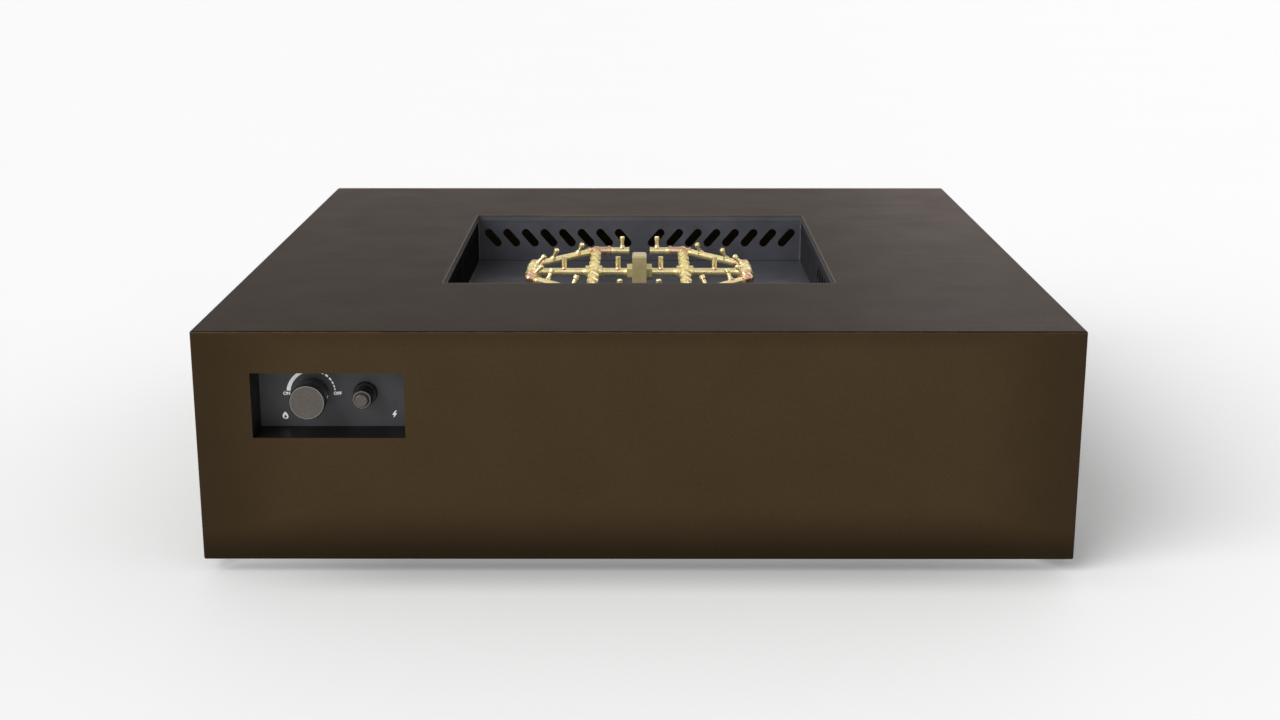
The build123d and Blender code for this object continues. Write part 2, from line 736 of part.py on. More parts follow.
# ---- Gas train -------------------------------------------------------------------------------
with BuildPart() as inlet_bracket:
    bracket_top = RAIL_TOP + SHEET
    with BuildSketch(Plane.XY.offset(RAIL_TOP)):
        with Locations(((INLET_X - INSIDE) / 2 + 15, INLET_Y)):
            Rectangle(INSIDE + INLET_X + 30, 60)
        with Locations((INLET_X, INLET_Y)):
            Circle(INLET_THREAD_R + CLEAR, mode=Mode.SUBTRACT)
    extrude(amount=SHEET)
save(inlet_bracket, "inlet_bracket")

with BuildPart() as inlet_fitting:
    inlet_flange = RAIL_TOP + SHEET
    inlet_port = inlet_flange + 10
    tube((INLET_X, INLET_Y, INLET_BOTTOM), (INLET_X, INLET_Y, RAIL_TOP), INLET_THREAD_R)
    tube((INLET_X, INLET_Y, RAIL_TOP), (INLET_X, INLET_Y, inlet_flange), INLET_THREAD_R - 0.3)
    hexagon((INLET_X, INLET_Y, inlet_flange), (INLET_X, INLET_Y, inlet_port), 27)
    tube((INLET_X, INLET_Y, inlet_port), (INLET_X, INLET_Y, inlet_port + PORT_L), PORT_R)
    with BuildSketch(Plane.XY.offset(INLET_BOTTOM)):
        with Locations((INLET_X, INLET_Y)):
            Circle(HOSE_BORE_R)
    extrude(amount=inlet_port + PORT_L - INLET_BOTTOM, mode=Mode.SUBTRACT)
save(inlet_fitting, "inlet_fitting")

with BuildPart() as hub_nut:
    hexagon((0, 0, FLOOR_BOTTOM - 10), (0, 0, FLOOR_BOTTOM), 30, SHANK_R + 0.03)
save(hub_nut, "hub_nut")

with BuildPart() as air_mixer:
    tube((0, 0, MIXER_BOTTOM), (0, 0, MIXER_TOP), MIXER_R, SHANK_R + 0.03)
    with BuildSketch(Plane.XZ):
        with Locations((0, (MIXER_BOTTOM + MIXER_TOP) / 2)):
            SlotOverall(30, 9, rotation=90)
    extrude(amount=2 * MIXER_R, both=True, mode=Mode.SUBTRACT)
save(air_mixer, "air_mixer")

with BuildPart() as orifice_fitting:
    spud_r = 6.0
    hexagon((0, 0, MIXER_BOTTOM - 20), (0, 0, MIXER_BOTTOM), 27)
    tube((0, 0, MIXER_BOTTOM), (0, 0, MIXER_BOTTOM + 10), spud_r)
    tube((0, 0, ORIFICE_BOTTOM), (0, 0, MIXER_BOTTOM - 20), PORT_R)
    with BuildSketch(Plane.XY.offset(ORIFICE_BOTTOM)):
        Circle(2)
    extrude(amount=MIXER_BOTTOM + 10 - ORIFICE_BOTTOM, mode=Mode.SUBTRACT)
save(orifice_fitting, "orifice_fitting")

# Each hose runs port to port, and its nuts close over its ends.
valve_outlet = (KNOB_X, -HALF + VALVE_BACK + PORT_L, CONTROL_Z)
valve_inlet = (INLET_PORT_X, -HALF + INLET_PORT_DEPTH, CONTROL_Z - VALVE_W / 2 - PORT_L)
table_inlet = (INLET_X, INLET_Y, RAIL_TOP + SHEET + 10 + PORT_L)
burner_inlet = (0, 0, ORIFICE_BOTTOM)
HOSE_LOW = 84.0

burner_route = [
    valve_outlet,
    (KNOB_X, -370, CONTROL_Z),
    (KNOB_X + 100, -230, HOSE_LOW + 60),
    (KNOB_X + 270, -100, HOSE_LOW),
    (0, 0, HOSE_LOW - 4),
    burner_inlet,
]
supply_route = [
    valve_inlet,
    (INLET_PORT_X, valve_inlet[1], 148),
    (INLET_X + 30, -370, 142),
    (INLET_X, INLET_Y, 148),
    table_inlet,
]
bent_tube("burner_hose", burner_route, HOSE_R, HOSE_BORE_R)
bent_tube("supply_hose", supply_route, HOSE_R, HOSE_BORE_R)

with BuildPart() as hose_nuts:
    for end, direction in (
        (valve_outlet, (0, 1, 0)),
        (valve_inlet, (0, 0, -1)),
        (table_inlet, (0, 0, 1)),
        (burner_inlet, (0, 0, -1)),
    ):
        hexagon(end, along(end, direction, HOSE_NUT_L), HOSE_NUT_AF, HOSE_R + 0.03)
save(hose_nuts, "hose_nuts")

# ---- Electrode and flame sensor --------------------------------------------------------------
with BuildPart() as pilot_bracket:
    bracket_w = 34.0
    bracket_d = 22.0
    shelf_z = FLOOR_TOP + 12.0
    with BuildSketch(Plane.XY.offset(shelf_z)):
        with Locations((0, PILOT_Y)):
            Rectangle(bracket_w, bracket_d)
        with Locations((ELECTRODE_X, PILOT_Y)):
            Circle(3.03, mode=Mode.SUBTRACT)
        with Locations((SENSOR_X, PILOT_Y)):
            Circle(2.53, mode=Mode.SUBTRACT)
    extrude(amount=LINER_T)
    leg_x = bracket_w / 2 - LINER_T / 2
    leg_z = (FLOOR_TOP + shelf_z) / 2
    with Locations((-leg_x, PILOT_Y, leg_z), (leg_x, PILOT_Y, leg_z)):
        Box(LINER_T, bracket_d, shelf_z - FLOOR_TOP)
save(pilot_bracket, "pilot_bracket")

with BuildPart() as spark_electrode:
    ceramic_bottom = FLOOR_TOP - 26.0
    ceramic_top = FLOOR_TOP + 22.0
    tip_top = ceramic_top + 12.0
    tube((ELECTRODE_X, PILOT_Y, ceramic_bottom), (ELECTRODE_X, PILOT_Y, ceramic_top), 3)
    tube((ELECTRODE_X, PILOT_Y, ceramic_top), (ELECTRODE_X, PILOT_Y, tip_top), 1)
save(spark_electrode, "spark_electrode")

spark_route = [
    (ELECTRODE_X, PILOT_Y, FLOOR_TOP - 26.0),
    (ELECTRODE_X, PILOT_Y, 190),
    (-130, -260, 172),
    (-260, -330, 190),
    (IGNITER_X, -410, CONTROL_Z),
    (IGNITER_X, -HALF + BARREL_END, CONTROL_Z),
]
bent_tube("spark_lead", spark_route, 1.6)

with BuildPart() as thermocouple:
    sensor_top = FLOOR_TOP + 26.0
    sensor_bottom = FLOOR_TOP - 14.0
    sensor_port_y = -HALF + SENSOR_PORT_DEPTH
    sensor_port_z = CONTROL_Z - VALVE_W / 2
    points = [
        (SENSOR_X, PILOT_Y, sensor_bottom),
        (SENSOR_X, PILOT_Y, 150),
        (-120, -290, 128),
        (-260, -390, 118),
        (SENSOR_PORT_X, sensor_port_y, 120),
        (SENSOR_PORT_X, sensor_port_y, sensor_port_z),
    ]
    with BuildLine() as capillary_route:
        FilletPolyline(*points, radius=bend_radii(points))
    with BuildSketch(Plane(origin=points[0], z_dir=(0, 0, -1))):
        Circle(1.2)
    sweep(path=capillary_route.wires()[0])
    tube((SENSOR_X, PILOT_Y, sensor_bottom), (SENSOR_X, PILOT_Y, sensor_top), 2.5)
    hexagon((SENSOR_PORT_X, sensor_port_y, sensor_port_z - 12), (SENSOR_PORT_X, sensor_port_y, sensor_port_z), 9)
save(thermocouple, "thermocouple")

# ---- Brass burner ----------------------------------------------------------------------------
DIAGONAL = Vector(BRANCH_X - TEE_X, CORNER_Y - ELBOW_Y, 0)
DIAGONAL_DIR = DIAGONAL.normalized()


def diagonal_point(sx, sy, distance):
    """Point on a diagonal's centre line, this far from its outer corner."""
    spot = Vector(TEE_X, ELBOW_Y, 0) + DIAGONAL_DIR * distance
    return (sx * spot.X, sy * spot.Y, BURNER_Z)


def diagonal_dir(sx, sy):
    return (sx * DIAGONAL_DIR.X, sy * DIAGONAL_DIR.Y, 0)


def inward_lean(sx, sy, lean):
    """Direction leaning from upright towards the burner's middle, square to the diagonal."""
    inward = Vector(-sx * DIAGONAL_DIR.Y, sy * DIAGONAL_DIR.X, 0)
    return tuple(inward * sin(radians(lean)) + Vector(0, 0, cos(radians(lean))))


with BuildPart() as burner_hub:
    hub_h = HUB_TOP - FLOOR_TOP
    with Locations((0, 0, FLOOR_TOP + hub_h / 2)):
        Box(HUB_W, HUB_D, hub_h)
    top_edges = burner_hub.faces().sort_by(Axis.Z)[-1].edges()
    chamfer(top_edges, 2.5)
    tube((0, 0, FLOOR_TOP - SHANK_L), (0, 0, FLOOR_TOP), SHANK_R)
    with BuildSketch(Plane.XY.offset(FLOOR_TOP - SHANK_L)):
        Circle(PIPE_BORE_R)
    extrude(amount=SHANK_L + BURNER_Z - FLOOR_TOP, mode=Mode.SUBTRACT)
    for side in (-1, 1):
        bore_arm((0, 0, BURNER_Z), (side, 0, 0), HUB_W / 2)
save(burner_hub, "burner_hub")

with BuildPart() as hub_collars:
    for side in (-1, 1):
        inner = (side * HUB_W / 2, 0, BURNER_Z)
        outer = (side * (HUB_W / 2 + COLLAR_L), 0, BURNER_Z)
        hexagon(inner, outer, COLLAR_AF, PIPE_BORE_R)
save(hub_collars, "hub_collars")

with BuildPart() as spine_pipes:
    for side in (-1, 1):
        for start, end in (
            (HUB_W / 2 + COLLAR_L, BRANCH_X - CROSS_ARM),
            (BRANCH_X + CROSS_ARM, TEE_X - TEE_ARM),
        ):
            tube((side * start, 0, BURNER_Z), (side * end, 0, BURNER_Z), PIPE_R, PIPE_BORE_R)
save(spine_pipes, "spine_pipes")

with BuildPart() as crosses:
    for side in (-1, 1):
        arms = [((1, 0, 0), CROSS_ARM), ((-1, 0, 0), CROSS_ARM)]
        arms += [((0, 1, 0), CROSS_ARM_Y), ((0, -1, 0), CROSS_ARM_Y)]
        fitting((side * BRANCH_X, 0, BURNER_Z), arms, CROSS_R)
save(crosses, "crosses")

with BuildPart() as end_tees:
    for side in (-1, 1):
        arms = [((-side, 0, 0), TEE_ARM), ((0, 1, 0), TEE_ARM_Y), ((0, -1, 0), TEE_ARM_Y)]
        fitting((side * TEE_X, 0, BURNER_Z), arms, TEE_R)
save(end_tees, "end_tees")

# Each quadrant's fittings are the front right ones, mirrored.
with BuildPart() as outer_elbows:
    elbow_arms = [((0, 1, 0), ELBOW_Y - TEE_ARM_Y), (diagonal_dir(1, -1), ELBOW_ARM)]
    fitting((TEE_X, -ELBOW_Y, BURNER_Z), elbow_arms, OUTER_ELBOW_R)
    mirror(about=Plane.YZ)
    mirror(about=Plane.XZ)
save(outer_elbows, "outer_elbows")

with BuildPart() as diagonal_pipes:
    for sx, sy in QUADRANTS:
        start = diagonal_point(sx, sy, ELBOW_ARM)
        end = diagonal_point(sx, sy, DIAGONAL.length - CORNER_ARM)
        tube(start, end, PIPE_R, PIPE_BORE_R)
save(diagonal_pipes, "diagonal_pipes")

with BuildPart() as corner_elbows:
    back_along = tuple(-1 * Vector(*diagonal_dir(1, -1)))
    corner_arms = [(back_along, CORNER_ARM), ((-1, 0, 0), CORNER_ARM_X), ((0, 1, 0), CORNER_ARM)]
    fitting((BRANCH_X, -CORNER_Y, BURNER_Z), corner_arms, CORNER_R)
    mirror(about=Plane.YZ)
    mirror(about=Plane.XZ)
save(corner_elbows, "corner_elbows")

with BuildPart() as branch_pipes:
    for sx, sy in QUADRANTS:
        start = (sx * BRANCH_X, sy * CROSS_ARM_Y, BURNER_Z)
        end = (sx * BRANCH_X, sy * (CORNER_Y - CORNER_ARM), BURNER_Z)
        tube(start, end, PIPE_R, PIPE_BORE_R)
save(branch_pipes, "branch_pipes")

with BuildPart() as end_pipes:
    for sx, sy in QUADRANTS:
        start = (sx * (BRANCH_X - CORNER_ARM_X), sy * CORNER_Y, BURNER_Z)
        end = (sx * END_PIPE_INNER, sy * CORNER_Y, BURNER_Z)
        tube(start, end, PIPE_R, PIPE_BORE_R)
save(end_pipes, "end_pipes")

with BuildPart() as end_caps:
    for sx, sy in QUADRANTS:
        start = (sx * END_PIPE_INNER, sy * CORNER_Y, BURNER_Z)
        end = (sx * (END_PIPE_INNER - END_CAP_T), sy * CORNER_Y, BURNER_Z)
        tube(start, end, PIPE_R + 0.6)
save(end_caps, "end_caps")

with BuildPart() as couplings:
    for sx, sy in QUADRANTS:
        for y in COUPLING_Y:
            start = (sx * BRANCH_X, sy * (y - COUPLING_L / 2), BURNER_Z)
            end = (sx * BRANCH_X, sy * (y + COUPLING_L / 2), BURNER_Z)
            hexagon(start, end, COUPLING_AF, PIPE_R + 0.03)
save(couplings, "couplings")

# Jets are built through the wall of their pipe, then cut back to a saddle that sits on it.
with BuildPart() as jets:
    seat = PIPE_R - JET_SINK
    elbow_seat = OUTER_ELBOW_R - JET_SINK
    for side in (-1, 1):
        for x in SPINE_JET_X:
            pillar_jet((side * x, 0, BURNER_Z + seat))
    for sx, sy in QUADRANTS:
        lean = inward_lean(sx, sy, DIAGONAL_LEAN)
        for distance in DIAGONAL_JET_AT:
            jet(along(diagonal_point(sx, sy, distance), lean, seat), lean)
        jet((sx * END_JET_X, sy * CORNER_Y, BURNER_Z + seat), (0, 0, 1))
        tee_lean = (-sx * sin(radians(TEE_LEAN)), 0, cos(radians(TEE_LEAN)))
        jet(along((sx * TEE_X, sy * TEE_JET_Y, BURNER_Z), tee_lean, elbow_seat), tee_lean)
    saddle = 0.02
    pipes = [((-TEE_X, 0, BURNER_Z), (TEE_X, 0, BURNER_Z), PIPE_R)]
    for sx, sy in QUADRANTS:
        tee = (sx * TEE_X, sy * TEE_ARM_Y, BURNER_Z)
        elbow = (sx * TEE_X, sy * ELBOW_Y, BURNER_Z)
        corner = (sx * BRANCH_X, sy * CORNER_Y, BURNER_Z)
        tip = (sx * END_PIPE_INNER, sy * CORNER_Y, BURNER_Z)
        pipes += [(tee, elbow, OUTER_ELBOW_R), (elbow, corner, PIPE_R), (corner, tip, PIPE_R)]
    for start, end, radius in pipes:
        span = Vector(*end) - Vector(*start)
        with BuildSketch(Plane(origin=start, z_dir=span)):
            Circle(radius + saddle)
        extrude(amount=span.length, mode=Mode.SUBTRACT)
save(jets, "jets")
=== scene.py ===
import json
from math import cos, pi, radians, sin, tau

import bmesh
import bpy
from mathutils import Euler, Matrix, Vector


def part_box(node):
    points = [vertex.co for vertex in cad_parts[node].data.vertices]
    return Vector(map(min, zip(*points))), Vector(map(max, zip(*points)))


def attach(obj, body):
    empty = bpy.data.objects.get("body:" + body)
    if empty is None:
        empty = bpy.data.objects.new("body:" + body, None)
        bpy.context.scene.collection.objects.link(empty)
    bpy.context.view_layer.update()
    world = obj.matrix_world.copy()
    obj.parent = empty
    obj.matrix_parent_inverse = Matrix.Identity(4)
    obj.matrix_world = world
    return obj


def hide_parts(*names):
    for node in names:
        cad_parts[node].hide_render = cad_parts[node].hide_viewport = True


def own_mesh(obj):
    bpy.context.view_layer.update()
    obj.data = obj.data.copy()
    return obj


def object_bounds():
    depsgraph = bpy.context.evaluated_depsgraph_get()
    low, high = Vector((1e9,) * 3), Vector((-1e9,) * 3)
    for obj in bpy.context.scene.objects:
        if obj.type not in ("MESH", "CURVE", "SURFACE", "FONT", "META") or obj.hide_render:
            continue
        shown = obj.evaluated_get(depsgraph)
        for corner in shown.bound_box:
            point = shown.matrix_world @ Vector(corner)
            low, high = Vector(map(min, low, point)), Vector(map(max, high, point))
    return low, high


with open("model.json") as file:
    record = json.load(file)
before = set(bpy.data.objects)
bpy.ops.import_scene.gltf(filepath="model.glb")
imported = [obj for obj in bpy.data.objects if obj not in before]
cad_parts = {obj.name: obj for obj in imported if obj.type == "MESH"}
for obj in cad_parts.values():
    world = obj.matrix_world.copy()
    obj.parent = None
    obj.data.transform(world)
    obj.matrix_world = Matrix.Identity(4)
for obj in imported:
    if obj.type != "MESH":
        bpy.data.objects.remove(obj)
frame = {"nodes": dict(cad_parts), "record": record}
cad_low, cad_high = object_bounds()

# Looks of a square gas fire table: bronze shell, slotted fire bay, brass burner, gas controls.
# Metres throughout, +Z up, the front faces -Y. Places on the object start from the CAD frame.

MM = 0.001
NODES = frame["nodes"]
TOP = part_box("top_panel")[1].z
HALF = cad_high.x
BODY_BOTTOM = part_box("front_panel")[0].z
OPENING_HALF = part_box("bay_floor")[1].x - 0.3 * MM
PLATE_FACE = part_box("control_plate")[0].y


def middle(node):
    """Middle of a CAD node's box."""
    low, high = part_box(node)
    return (low + high) / 2


KNOB_AXIS = middle("knob_cap")
IGNITER_AXIS = middle("igniter_cap")


# ---- Material recipes ------------------------------------------------------------------------
class Recipe:
    """One procedural material. Each method adds a node and returns its output socket."""

    def __init__(self, name, values):
        self.material = bpy.data.materials.new(name)
        self.material.use_nodes = True
        self.tree = self.material.node_tree
        self.shader = self.tree.nodes["Principled BSDF"]
        for label, value in values.items():
            self.shader.inputs[label].default_value = value
        self.place = self.add("ShaderNodeTexCoord").outputs["Object"]

    def add(self, kind, **settings):
        node = self.tree.nodes.new(kind)
        for key, value in settings.items():
            setattr(node, key, value)
        return node

    def feed(self, socket, value):
        """Link a socket, or set it where the value is a plain number or colour."""
        if isinstance(value, bpy.types.NodeSocket):
            self.tree.links.new(value, socket)
        else:
            socket.default_value = value

    def math(self, operation, first, second=0.0):
        node = self.add("ShaderNodeMath", operation=operation)
        self.feed(node.inputs[0], first)
        self.feed(node.inputs[1], second)
        return node.outputs[0]

    def shifted(self, offset, place=None):
        """Place measured from another origin."""
        node = self.add("ShaderNodeVectorMath", operation="SUBTRACT")
        self.feed(node.inputs[0], place or self.place)
        self.feed(node.inputs[1], tuple(offset))
        return node.outputs[0]

    def stretched(self, scales, place=None):
        """Place multiplied along each axis, so that a pattern gets a grain."""
        node = self.add("ShaderNodeVectorMath", operation="MULTIPLY")
        self.feed(node.inputs[0], place or self.place)
        self.feed(node.inputs[1], tuple(scales))
        return node.outputs[0]

    def parts(self, place=None):
        """X, Y and Z of a place."""
        node = self.add("ShaderNodeSeparateXYZ")
        self.feed(node.inputs[0], place or self.place)
        return node.outputs

    def noise(self, size, detail=3.0, place=None, roughness=0.55):
        """Cloudy value from 0 to 1 with features about this size, in metres."""
        node = self.add("ShaderNodeTexNoise")
        self.feed(node.inputs["Vector"], place or self.place)
        node.inputs["Scale"].default_value = 1 / size
        node.inputs["Detail"].default_value = detail
        node.inputs["Roughness"].default_value = roughness
        return node.outputs["Fac"]

    def reach(self, axis_point):
        """Distance from an axis that runs front to back through a point."""
        node = self.add("ShaderNodeVectorMath", operation="LENGTH")
        self.feed(node.inputs[0], self.stretched((1, 0, 1), self.shifted(axis_point)))
        return node.outputs["Value"]

    def rounded(self, radius):
        """Normals that round off crisp edges by this radius."""
        node = self.add("ShaderNodeBevel", samples=4)
        node.inputs["Radius"].default_value = radius
        return node.outputs["Normal"]

    def span(self, value, low, high, to_low=0.0, to_high=1.0):
        """Value mapped smoothly from one range to another and held at its ends."""
        node = self.add("ShaderNodeMapRange", interpolation_type="SMOOTHSTEP")
        self.feed(node.inputs["Value"], value)
        node.inputs["From Min"].default_value = low
        node.inputs["From Max"].default_value = high
        node.inputs["To Min"].default_value = to_low
        node.inputs["To Max"].default_value = to_high
        return node.outputs["Result"]

    def mixed(self, share, first, second):
        """Colour between two others."""
        node = self.add("ShaderNodeMix", data_type="RGBA")
        self.feed(node.inputs[0], share)
        self.feed(node.inputs[6], first)
        self.feed(node.inputs[7], second)
        return node.outputs[2]

    def colour(self, value):
        self.feed(self.shader.inputs["Base Color"], value)

    def rough(self, value):
        self.feed(self.shader.inputs["Roughness"], value)

    def bumps(self, *layers, normal=None):
        """Relief from pairs of height value and depth in metres, over other normals if given."""
        for height, depth in layers:
            node = self.add("ShaderNodeBump")
            node.inputs["Distance"].default_value = depth
            self.feed(node.inputs["Height"], height)
            if normal:
                self.feed(node.inputs["Normal"], normal)
            normal = node.outputs["Normal"]
        self.feed(self.shader.inputs["Normal"], normal)


def rgb(red, green, blue):
    """Linear colour from eight-bit screen values."""
    def linear(value):
        share = value / 255
        return share / 12.92 if share <= 0.04045 else ((share + 0.055) / 1.055) ** 2.4
    return (linear(red), linear(green), linear(blue), 1.0)


def bronze_shell():
    """Satin metallic powder coat: fine flake, faint drawn lines across the sheet, worn bends that are
    lightened partly as a painted highlight.

    The sides' darkening towards their ends, foot and brow is painted shade, and so is the dark
    line on the top bend; the light line round the opening is a painted highlight.
    """
    finish = {"Metallic": 0.7, "Specular IOR Level": 0.15, "Coat Weight": 0.03, "Coat Roughness": 0.35}
    look = Recipe("bronze_shell", finish)
    look.shader.inputs["Specular Tint"].default_value = (0.24, 0.17, 0.145, 1)
    cloud = look.noise(0.09, 2.0)
    flake = look.noise(0.0011, 1.0)
    grain = look.noise(0.006, 2.0, look.stretched((0.02, 6.0, 6.0)))
    x, y, z = look.parts()
    reach = look.math("MAXIMUM", look.math("ABSOLUTE", x), look.math("ABSOLUTE", y))
    near_side = look.span(reach, HALF - 0.003, HALF - 0.0012)
    near_top = look.span(z, TOP - 0.003, TOP - 0.0012)
    on_edge = look.math("MULTIPLY", near_side, near_top)
    # painted highlight, partly wear: light patches along the outer top bend
    wear_and_highlight = look.math("MULTIPLY", on_edge, look.span(look.noise(0.02, 4.0), 0.4, 0.62))
    shade = look.mixed(cloud, rgb(60, 47, 30), rgb(67, 53, 35))
    shade = look.mixed(look.math("MULTIPLY", look.span(flake, 0.45, 0.75), 0.35), shade, rgb(92, 76, 54))
    shade = look.mixed(look.math("MULTIPLY", wear_and_highlight, 0.15), shade, rgb(128, 112, 90))
    # painted shade: the sides darken towards their ends, foot and brow
    along = look.math("MINIMUM", look.math("ABSOLUTE", x), look.math("ABSOLUTE", y))
    at_ends = look.span(along, HALF - 0.17, HALF, 0.0, 0.34)
    at_foot = look.span(z, BODY_BOTTOM, BODY_BOTTOM + 0.085, 0.62, 0.0)
    at_brow = look.span(z, TOP - 0.03, TOP - 0.006, 0.0, 0.16)
    on_side = look.span(z, TOP - 0.004, TOP - 0.002, 1.0, 0.0)
    # painted shade: dark line along the top of the outer bend
    outer_bend = look.span(reach, HALF - 0.0032, HALF - 0.0022)
    bend_line = look.math("MULTIPLY", outer_bend, look.span(z, TOP - 0.0018, TOP - 0.001))
    deeper = look.math("MAXIMUM", look.math("MAXIMUM", at_ends, at_foot), at_brow)
    shade = look.mixed(look.math("MULTIPLY", deeper, on_side), shade, rgb(8, 6, 4))
    shade = look.mixed(look.math("MULTIPLY", bend_line, 0.6), shade, rgb(8, 6, 4))
    # painted highlight: light line round the opening's edge
    opening_edge = look.span(reach, OPENING_HALF + 0.001, OPENING_HALF + 0.0035, 0.45, 0.0)
    rim = look.math("MULTIPLY", opening_edge, near_top)
    look.colour(look.mixed(rim, shade, rgb(170, 160, 148)))
    satin = look.span(cloud, 0.2, 0.8, 0.3, 0.35)
    look.rough(look.math("ADD", satin, look.span(grain, 0.3, 0.7, -0.03, 0.03)))
    look.bumps((look.noise(0.0016, 2.0), 0.00002), (grain, 0.00002))
    return look.material


def painted(name, dark, light, size, roughness, grain, depth, metallic=0.0, specular=0.5):
    """Powder coat with a fine orange-peel texture and soft variation."""
    look = Recipe(name, {"Metallic": metallic, "Specular IOR Level": specular})
    cloud = look.noise(size, 3.0)
    look.colour(look.mixed(cloud, dark, light))
    look.rough(look.span(cloud, 0.25, 0.75, roughness - 0.05, roughness + 0.05))
    look.bumps((look.noise(grain, 2.0), depth))
    return look.material


def turned_metal(name, dark, light, roughness, tarnish, tarnish_colour, metallic=1.0):
    """Machined metal: bright skin, hairline scratches, soft edges and patches of tarnish."""
    look = Recipe(name, {"Metallic": metallic})
    cloud = look.noise(0.012, 4.0)
    patch = look.span(look.noise(0.03, 5.0, roughness=0.65), 0.5, 0.72)
    hair = look.noise(0.004, 3.0, look.stretched((0.25, 0.25, 9.0)))
    shade = look.mixed(cloud, dark, light)
    look.colour(look.mixed(look.math("MULTIPLY", patch, tarnish), shade, tarnish_colour))
    skin = look.span(cloud, 0.2, 0.8, roughness - 0.06, roughness + 0.08)
    look.rough(look.math("ADD", skin, look.math("MULTIPLY", patch, 0.12)))
    look.bumps((hair, 0.00003), (look.noise(0.0009, 2.0), 0.00002), normal=look.rounded(0.0005))
    return look.material


def moulded(name, colour, light, roughness, grain=0.0012):
    """Moulded plastic or rubber with a fine spark-eroded texture."""
    look = Recipe(name, {})
    look.colour(look.mixed(look.noise(0.03, 3.0), colour, light))
    look.rough(look.span(look.noise(0.01, 3.0), 0.2, 0.8, roughness - 0.05, roughness + 0.06))
    look.bumps((look.noise(grain, 2.0), 0.00003))
    return look.material


def control_face(name, axis_point, rim, side_start):
    """Bead-blasted anodised front with a polished turned rim whose lighter colour is partly a painted
    highlight, over a black moulded side.
    """
    look = Recipe(name, {"Metallic": 0.75})
    blast = look.noise(0.0007, 2.0)
    cloud = look.noise(0.012, 3.0)
    face = look.mixed(cloud, rgb(88, 83, 79), rgb(104, 99, 94))
    face = look.mixed(look.span(blast, 0.35, 0.7), face, rgb(74, 70, 66))
    # painted highlight, partly polish: the rim's ring is lighter all round than the face
    edge = look.span(look.reach(axis_point), rim - 0.0009, rim - 0.0005)
    front = look.span(look.parts()[1], side_start, side_start + 0.0002, 1.0, 0.0)
    face = look.mixed(edge, face, rgb(140, 137, 132))
    inside = look.span(look.reach(axis_point), rim, rim + 0.0002, 1.0, 0.0)
    look.colour(look.mixed(look.math("MULTIPLY", front, inside), rgb(14, 13, 13), face))
    look.rough(look.mixed(edge, look.span(blast, 0.3, 0.7, 0.42, 0.55), (0.26, 0.26, 0.26, 1)))
    look.bumps((blast, 0.00006))
    return look.material


def print_white():
    """Screen-printed white ink, a little thin in places. A faint glow keeps it white in the recess."""
    look = Recipe("print_white", {"Specular IOR Level": 0.3, "Emission Strength": 0.2})
    look.colour(look.mixed(look.noise(0.0016, 3.0), rgb(244, 245, 246), rgb(255, 255, 255)))
    look.rough(look.span(look.noise(0.004, 2.0), 0.3, 0.7, 0.45, 0.6))
    look.bumps((look.noise(0.0006, 2.0), 0.00002))
    return look.material


MATERIALS = {
    "bronze_shell": bronze_shell(),
    "frame_paint": painted("frame_paint", rgb(24, 24, 24), rgb(34, 34, 33), 0.05, 0.5, 0.0015, 0.00005),
    "bay_grey": painted("bay_grey", rgb(66, 67, 73), rgb(86, 87, 94), 0.035, 0.42, 0.0012, 0.00008, 0.35),
    "recess_black": painted(
        "recess_black", rgb(8, 8, 7), rgb(13, 12, 11), 0.04, 0.45, 0.0012, 0.00004, 0.0, 0.3
    ),
    "plate_grey": painted("plate_grey", rgb(66, 66, 69), rgb(76, 76, 79), 0.03, 0.5, 0.0008, 0.00006, 0.2),
    "knob_black": moulded("knob_black", rgb(12, 12, 11), rgb(19, 18, 17), 0.42),
    "zinc_steel": turned_metal(
        "zinc_steel", rgb(170, 172, 172), rgb(205, 206, 204), 0.32, 0.3, rgb(140, 138, 128)
    ),
    "brass": turned_metal(
        "brass", rgb(248, 224, 150), rgb(255, 248, 200), 0.27, 0.24, rgb(212, 168, 96), 0.8
    ),
    "copper_brass": turned_metal(
        "copper_brass", rgb(236, 188, 146), rgb(255, 224, 194), 0.24, 0.4, rgb(206, 138, 112), 0.92
    ),
    "valve_alloy": turned_metal(
        "valve_alloy", rgb(150, 151, 152), rgb(182, 183, 184), 0.45, 0.2, rgb(110, 110, 108)
    ),
    "foot_plastic": moulded("foot_plastic", rgb(20, 20, 20), rgb(30, 30, 30), 0.6),
    "hose_yellow": moulded("hose_yellow", rgb(190, 140, 30), rgb(214, 166, 48), 0.35),
    "lead_red": moulded("lead_red", rgb(120, 20, 16), rgb(144, 30, 24), 0.5),
    "ceramic_white": moulded("ceramic_white", rgb(226, 223, 214), rgb(240, 238, 232), 0.2, 0.002),
    "battery_sleeve": moulded("battery_sleeve", rgb(28, 34, 44), rgb(40, 46, 58), 0.3),
}
